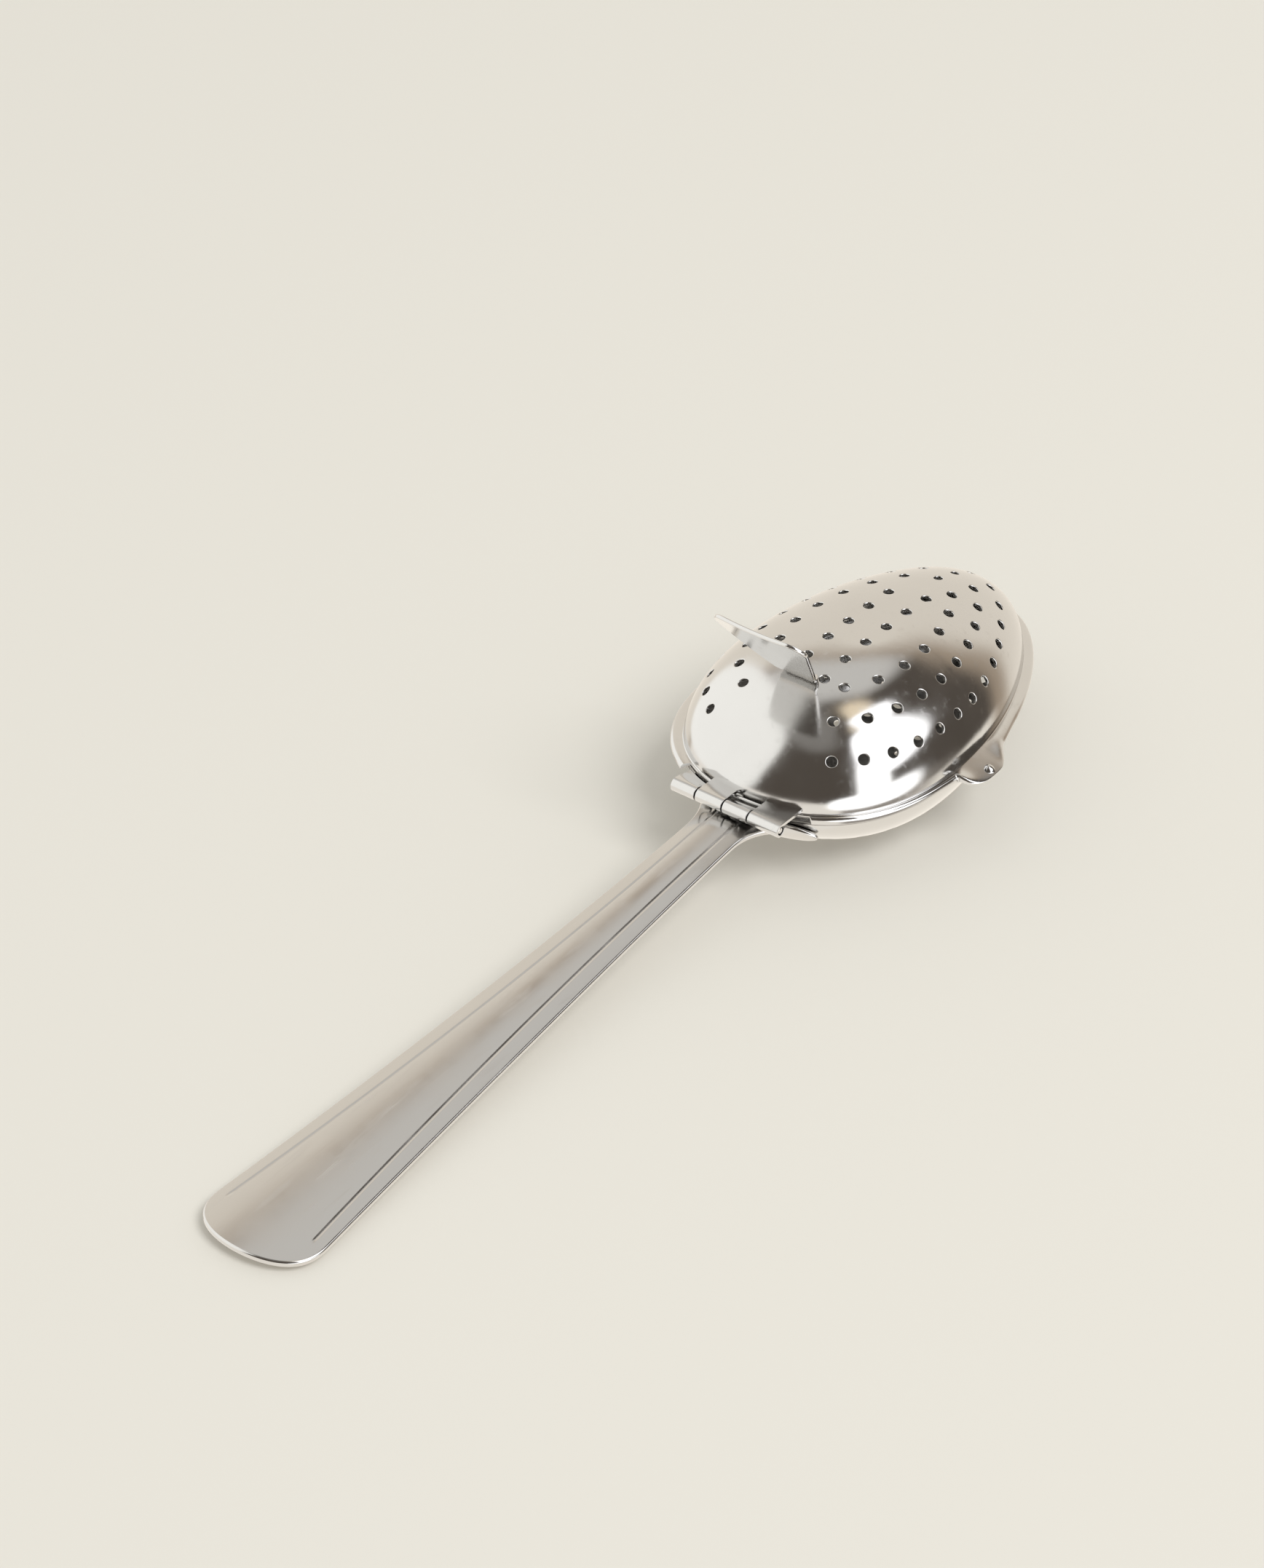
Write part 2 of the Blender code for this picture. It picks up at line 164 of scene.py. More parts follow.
# Camera: a long lens looking down on the hinge end from the object's right.
VIEW_AZIMUTH = math.radians(37.857)
VIEW_ELEVATION = math.radians(35.384)
VIEW_ROLL = math.radians(0.148)
VIEW_LENS = 100.28
VIEW_AIM = (13.386, 3.222, 612.24)


# ---------------------------------------------------------------- mesh building

class Build:
    """Collects points with their normals, and faces, then makes one smooth object."""

    def __init__(self):
        self.points = []
        self.normals = []
        self.faces = []
        self.count = 0

    def add(self, points, normals):
        self.points.append(np.asarray(points, float))
        self.normals.append(np.asarray(normals, float))
        first = self.count
        self.count += len(points)
        return np.arange(first, self.count)

    def strip(self, row, other, closed=True):
        """Quads between two rows of the same length."""
        ahead = np.roll(row, -1)
        other_ahead = np.roll(other, -1)
        quads = np.stack([row, ahead, other_ahead, other], axis=1)
        self.faces += (quads if closed else quads[:-1]).tolist()

    def grid(self, points, normals, closed=False):
        """Rows of points as a sheet of quads; gives the rows of indices."""
        rows = [self.add(p, n) for p, n in zip(points, normals)]
        for row, other in zip(rows, rows[1:]):
            self.strip(row, other, closed)
        return rows

    def finish(self, name, material):
        points = np.concatenate(self.points)
        normals = unit(np.concatenate(self.normals))
        faces = []
        for face in self.faces:
            corners = points[face]
            facing = np.cross(corners[1] - corners[0], corners[2] - corners[0])
            facing = facing + np.cross(corners[2] - corners[0], corners[-1] - corners[0])
            if facing @ normals[face].sum(axis=0) < 0:
                face = face[::-1]
            faces.append(face)
        mesh = bpy.data.meshes.new(name)
        mesh.from_pydata((points * MM).tolist(), [], faces)
        mesh.validate()
        mesh.shade_smooth()
        mesh.normals_split_custom_set_from_vertices(normals.tolist())
        mesh.materials.append(material)
        obj = bpy.data.objects.new(name, mesh)
        bpy.context.scene.collection.objects.link(obj)
        return obj


def unit(vectors):
    length = np.linalg.norm(vectors, axis=-1, keepdims=True)
    return vectors / np.maximum(length, 1e-12)


def surface_slopes(place, flat, step=0.02):
    """Slopes along u and v of a surface given by a function of plane points."""
    along_u = place(flat + (step, 0.0)) - place(flat - (step, 0.0))
    along_v = place(flat + (0.0, step)) - place(flat - (0.0, step))
    return along_u / (2 * step), along_v / (2 * step)


def surface_normals(place, flat, step=0.02):
    """Normals of a surface given by a function of plane points."""
    return unit(np.cross(*surface_slopes(place, flat, step)))


def triangulate(points, rings, scale=(1.0, 1.0)):
    """Triangles over the points, keeping the rings' edges and leaving the insides of rings[1:]."""
    edges = []
    for ring in rings:
        edges += list(zip(ring, np.roll(ring, -1)))
    coords = [Vector((p[0] * scale[0], p[1] * scale[1])) for p in points]
    edges = [(int(a), int(b)) for a, b in edges]
    _, _, faces, origin, _, _ = delaunay_2d_cdt(coords, edges, [], 0, 1e-7)
    lookup = [where[0] if where else -1 for where in origin]
    triangles = np.array([[lookup[i] for i in face] for face in faces if len(face) == 3])
    triangles = triangles[(triangles >= 0).all(axis=1)]
    owner = np.full(len(points), -1)
    for number, ring in enumerate(rings[1:]):
        owner[ring] = number
    inside = (owner[triangles] >= 0).all(axis=1)
    inside &= owner[triangles[:, 0]] == owner[triangles[:, 1]]
    inside &= owner[triangles[:, 1]] == owner[triangles[:, 2]]
    triangles = triangles[~inside]
    return triangles[in_loop(points[rings[0]], points[triangles].mean(axis=1))]


def in_loop(loop, points):
    """Which points lie inside a closed loop."""
    found = np.zeros(len(points), bool)
    for (x0, y0), (x1, y1) in zip(loop, np.roll(loop, -1, axis=0)):
        crosses = (y0 > points[:, 1]) != (y1 > points[:, 1])
        if y0 != y1:
            found ^= crosses & (points[:, 0] < x0 + (points[:, 1] - y0) / (y1 - y0) * (x1 - x0))
    return found


def resample(points, spacing, closed=True):
    """The same line with even spacing."""
    points = np.asarray(points, float)
    if closed:
        points = np.concatenate([points, points[:1]])
    run = np.concatenate([[0], np.cumsum(np.linalg.norm(np.diff(points, axis=0), axis=1))])
    count = max(4, round(run[-1] / spacing))
    wanted = np.linspace(0, run[-1], count, endpoint=not closed)
    return np.stack([np.interp(wanted, run, points[:, i]) for i in range(points.shape[1])], axis=1)


def loop_outwards(loop):
    """Plane normals of a closed anticlockwise loop."""
    tangent = np.roll(loop, -1, axis=0) - np.roll(loop, 1, axis=0)
    return unit(np.stack([tangent[:, 1], -tangent[:, 0]], axis=1))


# ---------------------------------------------------------------- pressed shells

def smooth(part):
    """A soft step from 0 to 1."""
    part = np.clip(part, 0, 1)
    return part * part * (3 - 2 * part)


def signed_power(value, power):
    return np.sign(value) * np.abs(value) ** power


def outline(angle, grow=0.0):
    """Plan points of the egg-shaped rim, or of one grown outwards."""
    cosine = signed_power(np.cos(angle), 2 / SQUARENESS)
    sine = signed_power(np.sin(angle), 2 / SQUARENESS)
    x = (HALF_WIDTH + grow) * cosine * (1 - EGG * np.sin(angle))
    return np.stack([x, (HALF_LENGTH + grow) * sine], axis=-1)


def lid_brim(angle):
    """Width and drop of the lid's brim: notched at the hinge, wider and lower at the ear."""
    edge = outline(angle, LID_BRIM)
    offset = edge[:, 1] - EAR_Y
    near = np.clip(1 - np.abs(offset / EAR_NEAR) ** 3, 0, None) ** 0.7
    far = 0.7 * smooth(1 - (offset - 1.5) / EAR_FAR) + 0.3 * smooth(1 - offset / EAR_FADE)
    bulge = np.where(edge[:, 0] > 0, np.where(offset > 0, far, near), 0)
    notch = (edge[:, 1] < 0) & (np.abs(edge[:, 0]) < NOTCH_HALF)
    skirt = np.where(edge[:, 0] > 0, smooth((SKIRT_Y - edge[:, 1]) / SKIRT_BLEND), 0)
    width = LID_BRIM + (SKIRT_OUT - LID_BRIM) * skirt + EAR_REACH * bulge
    drop = LID_BRIM_DROP + (SKIRT_DROP - LID_BRIM_DROP) * skirt
    width = np.where(notch, NOTCH_LIP, width)
    drop = np.where(notch, LID_BRIM_DROP * NOTCH_LIP / LID_BRIM, drop * (1 + EAR_SLOPE * bulge))
    return width, drop


def bowl_flange(angle):
    """Width and drop of the bowl's turned rim, the same all round."""
    return np.full(len(angle), BOWL_FLANGE), np.zeros(len(angle))


class Shell:
    """One pressed half. Its outer surface is a function of a plane point whose distance from the
    origin is the way along the profile, and whose direction is the outline's angle."""

    def __init__(self, rim, top, flange):
        self.rim = rim
        self.flange = flange
        self.top = top
        self.side = 1.0 if top > rim else -1.0
        low = np.linspace(0, 0.85, 4000)
        high = (1 - np.linspace((1 - 0.85 ** WALL_ROUND) ** (1 / 3), 0, 4000) ** 3) ** (1 / WALL_ROUND)
        self.shares = np.concatenate([low, high[1:]])
        self.heights = self.height(self.shares)
        steps = np.hypot(np.diff(self.shares) * MEAN_R, np.diff(self.heights) * abs(top - rim))
        self.ways = np.concatenate([[0], np.cumsum(steps)])
        fillet_height = CREASE_R / abs(top - rim)
        self.wall_end = np.interp(-fillet_height, -self.heights, self.ways)
        self.fillet_end = self.wall_end + CREASE_R * math.pi / 2
        self.flange_end = self.fillet_end + LID_BRIM
        self.fillet_share = np.interp(self.wall_end, self.ways, self.shares)

    @staticmethod
    def height(share):
        """Wall height from 0 at the rim to 1 on the central flat, whose edge is eased."""
        level = FLAT_SHARE ** WALL_ROUND
        blend = (share ** WALL_ROUND - level) / (1 - level)
        blend = (blend + np.sqrt(blend ** 2 + FLAT_EASE ** 2)) / 2
        blend = blend / ((1 + math.sqrt(1 + FLAT_EASE ** 2)) / 2)
        return np.clip(1 - blend, 0, None) ** WALL_POWER

    def place(self, flat):
        way = np.linalg.norm(flat, axis=-1)
        angle = np.arctan2(flat[:, 1], flat[:, 0])
        rim = outline(angle)
        share = np.interp(way, self.ways, self.shares)[:, None]
        height = np.interp(way, self.ways, self.heights) * (self.top - self.rim)
        points = np.column_stack([rim * share, self.rim + height])
        turn = np.clip((way - self.wall_end) / (self.fillet_end - self.wall_end), 0, 1) * math.pi / 2
        inner = rim * self.fillet_share
        outer = outline(angle, CREASE_R)
        plan = inner + (outer - inner) * (1 - np.cos(turn))[:, None]
        rise = self.side * CREASE_R * (1 - np.sin(turn))
        past = way > self.wall_end
        points[past] = np.column_stack([plan, self.rim + rise])[past]
        flange = way > self.fillet_end
        if flange.any():
            part = (way[flange] - self.fillet_end) / (self.flange_end - self.fillet_end)
            width, drop = self.flange(angle[flange])
            turn = np.clip(part, 0, 1) * math.pi / 2
            grow = CREASE_R + np.sin(turn) ** 0.7 * (width - CREASE_R)
            plain = smooth((width - LID_BRIM) / EAR_REACH)
            curl = plain * np.sin(turn) ** 0.7 + (1 - plain) * (1 - np.cos(turn) ** 0.7)
            sized = rim[flange] * np.column_stack(
                [(HALF_WIDTH + grow) / HALF_WIDTH, (HALF_LENGTH + grow) / HALF_LENGTH]
            )
            points[flange] = np.column_stack([sized, self.rim - self.side * drop * curl])
        return points

    def normals(self, flat):
        return surface_normals(self.place, flat) * self.side

    def flat_of(self, x, y):
        """The plane point of a plan point on the wall."""
        angles = np.linspace(-math.pi, math.pi, 7201)
        rim = outline(angles)
        direction = np.arctan2(rim[:, 1], rim[:, 0])
        angle = np.interp(math.atan2(y, x), direction, angles)
        share = math.hypot(x, y) / np.linalg.norm(outline(angle))
        way = np.interp(share, self.shares, self.ways)
        return np.array([way * math.cos(angle), way * math.sin(angle)])

    def share_at(self, height):
        """Share of the outline where the wall is this far from the rim, in millimetres."""
        return np.interp(-height / abs(self.top - self.rim), -self.heights, self.shares)


def hole_places():
    """Plan points of the holes: even steps along loops from the tip, and two staggered rows."""
    found = []
    for share_x, share_tip, share_hinge, last, steps in LOOPS:
        fine = np.radians(np.linspace(90, last, 721))
        plan = outline(fine)
        plan = plan * np.column_stack(
            [np.full(len(fine), share_x), np.where(plan[:, 1] > 0, share_tip, share_hinge)]
        )
        run = np.concatenate([[0], np.cumsum(np.linalg.norm(np.diff(plan, axis=0), axis=1))])
        for step in range(steps + 1):
            x = np.interp(run[-1] * step / steps, run, plan[:, 0])
            y = np.interp(run[-1] * step / steps, run, plan[:, 1])
            found += [(x, y)] if step == 0 else [(x, y), (-x, y)]
    for step in range(ROW_HOLES):
        found.append((ROW_X, RIGHT_ROW_Y - ROW_PITCH * step))
        if step:
            found.append((-ROW_X, LEFT_ROW_Y - ROW_PITCH * step))
    return found


def punched_disc(build, shell, way_end):
    """The shell's inner disc out to way_end, both faces, with its holes; gives the outer rings."""
    turn = np.linspace(0, 2 * math.pi, HOLE_SEGMENTS, endpoint=False)
    circle = np.stack([np.cos(turn), np.sin(turn)], axis=1)
    lip_start = HOLE_R + HOLE_LIP
    edge_turn = np.linspace(-math.pi, math.pi, COLUMNS, endpoint=False)
    flats = [np.stack([np.cos(edge_turn), np.sin(edge_turn)], axis=1) * way_end]
    rings = [np.arange(COLUMNS)]
    count = COLUMNS
    middles = []
    for x, y in hole_places():
        centre = shell.flat_of(x, y)
        point = shell.place(centre[None])[0]
        normal = shell.normals(centre[None])[0]
        along_u, along_v = surface_slopes(shell.place, centre[None])
        along_u, along_v = along_u[0], along_v[0]
        side = unit(along_u)
        across = np.cross(normal, side)
        matrix = np.array([[along_u @ side, along_v @ side], [along_u @ across, along_v @ across]])
        inverse = np.linalg.inv(matrix)
        rings.append(np.arange(count, count + HOLE_SEGMENTS))
        for further in HOLE_RINGS:
            flats.append(centre + circle * (lip_start + further) @ inverse.T)
            count += HOLE_SEGMENTS
        middles.append((point, normal))
    centres = np.array([point for point, _ in middles])
    for way in np.arange(POINT_SPACING, way_end - 0.4, POINT_SPACING):
        sides = max(6, round(2 * math.pi * way / POINT_SPACING))
        around = np.linspace(0, 2 * math.pi, sides, endpoint=False) + way
        ring = np.stack([np.cos(around), np.sin(around)], axis=1) * way
        near = np.linalg.norm(shell.place(ring)[:, None] - centres[None], axis=2).min(axis=1)
        flats.append(ring[near > lip_start + HOLE_CLEARANCE])
    flats.append(np.zeros((1, 2)) + 1e-3)
    flat = np.concatenate(flats)
    scale = (HALF_WIDTH / MEAN_R, HALF_LENGTH / MEAN_R)
    triangles = triangulate(flat, rings, scale)
    points = shell.place(flat)
    normals = shell.normals(flat)
    outer = build.add(points, normals)
    inner = build.add(points - normals * SHEET, -normals)
    build.faces += outer[triangles].tolist()
    build.faces += inner[triangles].tolist()
    for ring, (point, normal) in zip(rings[1:], middles):
        away = points[ring] - point
        away = unit(away - (away @ normal)[:, None] * normal)
        rows = [outer[ring]]
        skins = ((points[ring], normal), (points[ring] - normal * SHEET, -normal))
        for number, (base, facing) in enumerate(skins):
            lip = []
            for angle in np.radians((30, 60, 90)):
                moved = base - away * HOLE_LIP * math.sin(angle) - facing * HOLE_LIP * (1 - math.cos(angle))
                lip.append(build.add(moved, facing * math.cos(angle) - away * math.sin(angle)))
            rows += lip if number == 0 else lip[::-1]
        rows.append(inner[ring])
        for row, other in zip(rows, rows[1:]):
            build.strip(row, other)
    return outer[rings[0]], inner[rings[0]], edge_turn


def shell_rim(build, shell, outer, inner, turn, way_start):
    """The wall's foot, the crease, the flange and its rolled edge, joined to the punched disc."""
    ways = np.concatenate([
        way_start + (shell.wall_end - way_start) * np.array([0.2, 0.4, 0.6, 0.78, 0.92, 1.0]),
        np.linspace(shell.wall_end, shell.fillet_end, 7)[1:],
        np.linspace(shell.fillet_end, shell.flange_end, 12)[1:],
    ])
    direction = np.stack([np.cos(turn), np.sin(turn)], axis=1)
    top_rows = []
    under_rows = []
    for way in ways:
        points = shell.place(direction * way)
        normals = shell.normals(direction * way)
        top_rows.append((points, normals))
        thick = SHEET if way <= shell.fillet_end else BRIM_SHEET
        under_rows.append((points - normals * thick, -normals))
    edge, up = top_rows[-1]
    outwards = unit(edge - top_rows[-2][0])
    outwards = unit(outwards - (outwards * up).sum(axis=1)[:, None] * up)
    half = BRIM_SHEET / 2
    roll = []
    for angle in np.radians((22, 45, 68, 90, 112, 135, 158)):
        moved = edge - up * half + outwards * half * math.sin(angle) + up * half * math.cos(angle)
        roll.append((moved, outwards * math.sin(angle) + up * math.cos(angle)))
    rows = [build.add(*row) for row in top_rows + roll + under_rows[::-1]]
    for row, other in zip([outer] + rows, rows + [inner]):
        build.strip(row, other)


def shell_y(shell, x, height):
    """Plan y of the wall at the hinge end, for x and the distance from the rim."""
    share = shell.share_at(height)
    angles = np.linspace(-math.pi / 2, -0.5, 2000)
    plan = outline(angles) * share
    return np.interp(np.abs(x), plan[:, 0], plan[:, 1])


def arc(y, z, radius, first, last, count):
    """Points (y, z) of an arc, angles in degrees from +y towards +z."""
    angles = np.radians(np.linspace(first, last, count))
    return [(y + radius * math.cos(angle), z + radius * math.sin(angle)) for angle in angles]


def lid_leaf(wall_y):
    """Section of a lid knuckle: off the wall above the brim, over the pin and round it."""
    fillet = 0.3
    level = HINGE_Z + 0.95
    path = [(wall_y + 0.25, level + fillet)]
    path += arc(wall_y, level + fillet, fillet, 0, -90, 7)
    for part in np.linspace(0.15, 0.9, 6):
        path.append((wall_y + (HINGE_Y - wall_y) * part, level + 0.1 * smooth(part)))
    path += arc(HINGE_Y, HINGE_Z, BARREL_R, 90, 366, 34)
    path += arc(HINGE_Y, HINGE_Z, BORE_R, 366, 52, 30)
    return path + [(HINGE_Y + 0.9, level - SHEET), (wall_y + 0.25, level - SHEET)]


def bowl_leaf(wall_y):
    """Section of a bowl knuckle: out from the rim, up clear of the lid, over the pin and round."""
    level = HINGE_Z + 0.4
    low = BOWL_RIM_Z + 0.4
    riser = wall_y - RISER_OUT
    path = [(wall_y + 0.25, low)]
    path += arc(riser + 0.3, low + 0.3, 0.3, 270, 180, 6)
    path += arc(riser - 0.35, level - 0.35, 0.35, 0, 90, 6)
    for part in np.linspace(0.15, 0.9, 6):
        path.append((riser - 0.35 + (HINGE_Y - riser + 0.35) * part, level + (BARREL_R - 0.4) * smooth(part)))
    path += arc(HINGE_Y, HINGE_Z, BARREL_R, 90, 330, 30)
    path += arc(HINGE_Y, HINGE_Z, BORE_R, 330, 60, 26)
    path += [(HINGE_Y + 0.9, level - 0.2), (riser - SHEET - 0.1, level - SHEET)]
    path += [(riser - SHEET, level - SHEET - 0.12), (riser - SHEET, low - SHEET + 0.12)]
    return path + [(riser - SHEET + 0.12, low - SHEET), (wall_y + 0.25, low - SHEET)]


def knuckle(build, shell, first, last):
    """A strip that leaves the wall and rolls round the pin."""
    leaf, height = (lid_leaf, HINGE_Z + 1.25 - shell.rim) if shell.side > 0 else (bowl_leaf, 0.2)
    xs = np.linspace(first + KNUCKLE_GAP / 2, last - KNUCKLE_GAP / 2, 24)
    rows = [leaf(wall_y) for wall_y in shell_y(shell, xs, height)]
    paths = np.array(rows)
    turned = np.roll(paths, -1, axis=1) - np.roll(paths, 1, axis=1)
    normals = unit(np.stack([turned[..., 1], -turned[..., 0]], axis=-1))
    area = np.sum(paths[0, :, 0] * np.roll(paths[0, :, 1], -1) - np.roll(paths[0, :, 0], -1) * paths[0, :, 1])
    normals *= np.sign(area)
    bevel = 0.07
    grid_points = []
    grid_normals = []
    last_row = len(xs) - 1
    stations = [(0, 0.0, bevel, -1.0), (0, bevel, 0.0, 0.0)]
    stations += [(i, 0.0, 0.0, 0.0) for i in range(1, last_row)]
    stations += [(last_row, -bevel, 0.0, 0.0), (last_row, 0.0, bevel, 1.0)]
    for index, shift, inset, lean in stations:
        path = paths[index] - normals[index] * inset
        x = np.full(len(path), xs[index] + shift)
        grid_points.append(np.column_stack([x, path]))
        flat_normal = np.column_stack([np.full(len(path), lean), normals[index] * (1 - abs(lean))])
        grid_normals.append(flat_normal)
    made = build.grid(grid_points, grid_normals, closed=True)
    for row, points in ((made[0], grid_points[0]), (made[-1], grid_points[-1])):
        flat = points[:, 1:]
        triangles = triangulate(flat, [np.arange(len(flat))])
        build.faces += row[triangles].tolist()


def make_shell(name, rim, top, flange, knuckles, material):
    shell = Shell(rim, top, flange)
    build = Build()
    way_start = shell.ways[-1] - abs(top - rim) * FOOT_SHARE
    outer, inner, turn = punched_disc(build, shell, way_start)
    shell_rim(build, shell, outer, inner, turn, way_start)
    for index in knuckles:
        knuckle(build, shell, KNUCKLE_ENDS[index], KNUCKLE_ENDS[index + 1])
    if name == "lid_shell":
        add_dimple(build)
    return build.finish(name, material), shell


def add_dimple(build):
    """The small round stud pressed in the latch ear."""
    rows = []
    for angle in np.radians((0, 12, 25, 40, 55, 70, 85)):
        turn = np.linspace(0, 2 * math.pi, 40, endpoint=False)
        around = np.column_stack([np.cos(turn), np.sin(turn)])
        radius = DIMPLE_R * math.cos(angle)
        z = DIMPLE_FOOT_Z + DIMPLE_HEIGHT * math.sin(angle)
        z = z - DIMPLE_LEAN * radius * around[:, 0]
        points = np.column_stack([around * radius + (DIMPLE_X, EAR_Y), z])
        normals = np.column_stack([around * math.cos(angle), np.full(40, math.sin(angle))])
        normals = unit(normals + (DIMPLE_LEAN * math.sin(angle), 0, 0))
        rows.append((points, normals))
    made = [build.add(*row) for row in rows]
    for row, other in zip(made, made[1:]):
        build.strip(row, other)
    build.faces.append(made[-1].tolist())


# ---------------------------------------------------------------- plates

def plate(build, loop, surface, thickness, edge, spacing, relief=None, extra=None):
    """A formed plate: a plane outline carried by a surface function, with rounded edges. The
    surface gives the outer face; relief moves it along its normal; extra adds plane points."""
    outwards = loop_outwards(loop)
    inset = loop - outwards * edge
    low, high = inset.min(axis=0), inset.max(axis=0)
    across, along = np.meshgrid(np.arange(low[0], high[0], spacing), np.arange(low[1], high[1], spacing))
    across[1::2] += spacing / 2
    inside = np.stack([across.ravel(), along.ravel()], axis=1)
    inside = inside[in_loop(inset, inside)]
    inside = inside[distance_to(inset, inside) > spacing * 0.5]
    if extra is not None:
        extra = extra[in_loop(inset, extra)]
        extra = extra[distance_to(inset, extra) > 0.12]
        inside = inside[distance_to(extra, inside) > spacing * 0.45]
        inside = np.concatenate([extra, inside])
    flat = np.concatenate([inset, inside])
    triangles = triangulate(flat, [np.arange(len(inset))])

    def raised(points):
        place = surface(points)
        if relief is None:
            return place
        return place + surface_normals(surface, points) * relief(points)[:, None]

    base_normals = surface_normals(surface, flat)
    top = build.add(raised(flat), surface_normals(raised, flat))
    bottom = build.add(surface(flat) - base_normals * thickness, -base_normals)
    build.faces += top[triangles].tolist()
    build.faces += bottom[triangles].tolist()
    facing = surface_normals(surface, inset)
    ring_out = unit(surface(inset + outwards * 0.02) - surface(inset - outwards * 0.02))
    rows = [top[: len(inset)]]
    angles = np.radians(np.linspace(0, 90, 6))[1:]
    for angle in angles:
        place = surface(inset + outwards * edge * math.sin(angle)) - facing * edge * (1 - math.cos(angle))
        rows.append(build.add(place, facing * math.cos(angle) + ring_out * math.sin(angle)))
    for angle in angles[::-1]:
        place = surface(inset + outwards * edge * math.sin(angle))
        place = place - facing * (thickness - edge * (1 - math.cos(angle)))
        rows.append(build.add(place, ring_out * math.sin(angle) - facing * math.cos(angle)))
    rows.append(bottom[: len(inset)])
    for row, other in zip(rows, rows[1:]):
        build.strip(row, other)


def distance_to(targets, points):
    found = np.full(len(points), 1e9)
    for first in range(0, len(targets), 400):
        block = targets[first:first + 400]
        found = np.minimum(found, np.linalg.norm(points[:, None] - block[None], axis=2).min(axis=1))
    return found


def handle_along(y):
    """0 at the neck, 1 at the handle's end."""
    return np.clip((NECK_Y - y) / (NECK_Y - HANDLE_END_Y), 0, None)


def handle_crown_half(y):
    """Half width without the flare or the rounded end, for the crown across the strip."""
    return NECK_HALF + (END_HALF - NECK_HALF) * handle_along(y) ** 1.5


def handle_half_width(y):
    """Half width of the strip, with its flare at the bowl and its rounded end."""
    flare = np.clip((y - FLARE_START_Y) / (HANDLE_INNER_Y - FLARE_START_Y), 0, None)
    half = handle_crown_half(y) + NECK_FLARE * flare ** 2.2
    into_round = np.clip((HANDLE_END_Y + END_ROUND - y) / END_ROUND, 0, 1)
    return half * np.sqrt(1 - into_round ** 2.6)


def handle_top(y):
    """Height of the strip's middle line, falling from the neck to the end."""
    along = (y - HANDLE_END_Y) / (NECK_Y - HANDLE_END_Y)
    return END_TOP_Z + (NECK_TOP_Z - END_TOP_Z) * along * (0.74 + 0.26 * along)


def groove_x(y):
    """How far each pressed line is from the middle of the strip."""
    return GROOVE_NECK_X + GROOVE_SPREAD * handle_along(y) ** 1.87


def handle_surface(flat):
    x, y = flat[:, 0], flat[:, 1]
    half = handle_crown_half(y)
    crown = HANDLE_CROWN * (half / END_HALF) ** 0.5
    return np.column_stack([x, y, handle_top(y) - crown * (x / half) ** 2])


def handle_relief(flat):
    off = np.abs(np.abs(flat[:, 0]) - groove_x(flat[:, 1])) / GROOVE_HALF
    fade = np.clip((flat[:, 1] - GROOVE_END_Y) / 1.2 + 0.5, 0, 1)
    return -GROOVE_DEPTH * fade * np.where(off < 1, (1 + np.cos(math.pi * np.minimum(off, 1))) / 2, 0)


def handle_loop():
    round_part = np.linspace(0, 1, 60) ** 2
    ys = np.concatenate([HANDLE_END_Y + END_ROUND * round_part,
                         np.linspace(HANDLE_END_Y + END_ROUND, HANDLE_INNER_Y, 300)[1:]])
    right = np.column_stack([handle_half_width(ys), ys])
    left = np.column_stack([-handle_half_width(ys), ys])[::-1]
    return resample(np.concatenate([right, left[:-1]]), 0.4)


def groove_points():
    ys = np.arange(HANDLE_INNER_Y - 1.0, GROOVE_END_Y - 1.0, -0.5)
    found = []
    for side in (-1, 1):
        for offset in np.linspace(-GROOVE_HALF, GROOVE_HALF, 7):
            found.append(np.column_stack([side * (groove_x(ys) + offset), ys]))
    return np.concatenate(found)


def saddle_surface(shell):
    """Outer face of the band round the bowl's wall, over (way round in mm, height z)."""
    angles = np.linspace(-math.pi / 2 - 1.2, -math.pi / 2 + 1.2, 2401)
    rim = outline(angles)
    run = np.concatenate([[0], np.cumsum(np.linalg.norm(np.diff(rim, axis=0), axis=1))])
    run = run - np.interp(-math.pi / 2, angles, run)

    def wall(flat):
        angle = np.interp(flat[:, 0], run, angles)
        height = np.clip(BOWL_RIM_Z - flat[:, 1], 0.02, None)
        share = shell.share_at(height)
        return np.column_stack([outline(angle) * share[:, None], flat[:, 1]])

    def surface(flat):
        return wall(flat) + surface_normals(wall, flat, 0.05) * (SADDLE_GAP + SADDLE_T)

    half_run = np.interp(-math.pi / 2 + SADDLE_HALF_ANGLE, angles, run)
    return surface, half_run


def saddle_loop(half_run):
    across = np.sin(np.linspace(-math.pi / 2, math.pi / 2, 200))
    tip = SADDLE_LOW_Z + 0.8
    fall = np.sqrt(np.clip(1 - np.abs(across) ** 3.2, 0, 1))
    rise = np.sqrt(np.clip(1 - np.abs(across) ** 9, 0, 1))
    low = np.column_stack([across * half_run, tip - (tip - SADDLE_LOW_Z) * rise])
    high = np.column_stack([across * half_run, tip + (SADDLE_TOP_Z - tip) * fall])[::-1]
    return resample(np.concatenate([low, high[1:-1]]), 0.35)


def make_handle(bowl, material):
    build = Build()
    plate(build, handle_loop(), handle_surface, HANDLE_T, 0.35, 0.8, handle_relief, groove_points())
    surface, half_run = saddle_surface(bowl)
    plate(build, saddle_loop(half_run), surface, SADDLE_T, 0.4, 0.6)
    return build.finish("handle_strip", material)


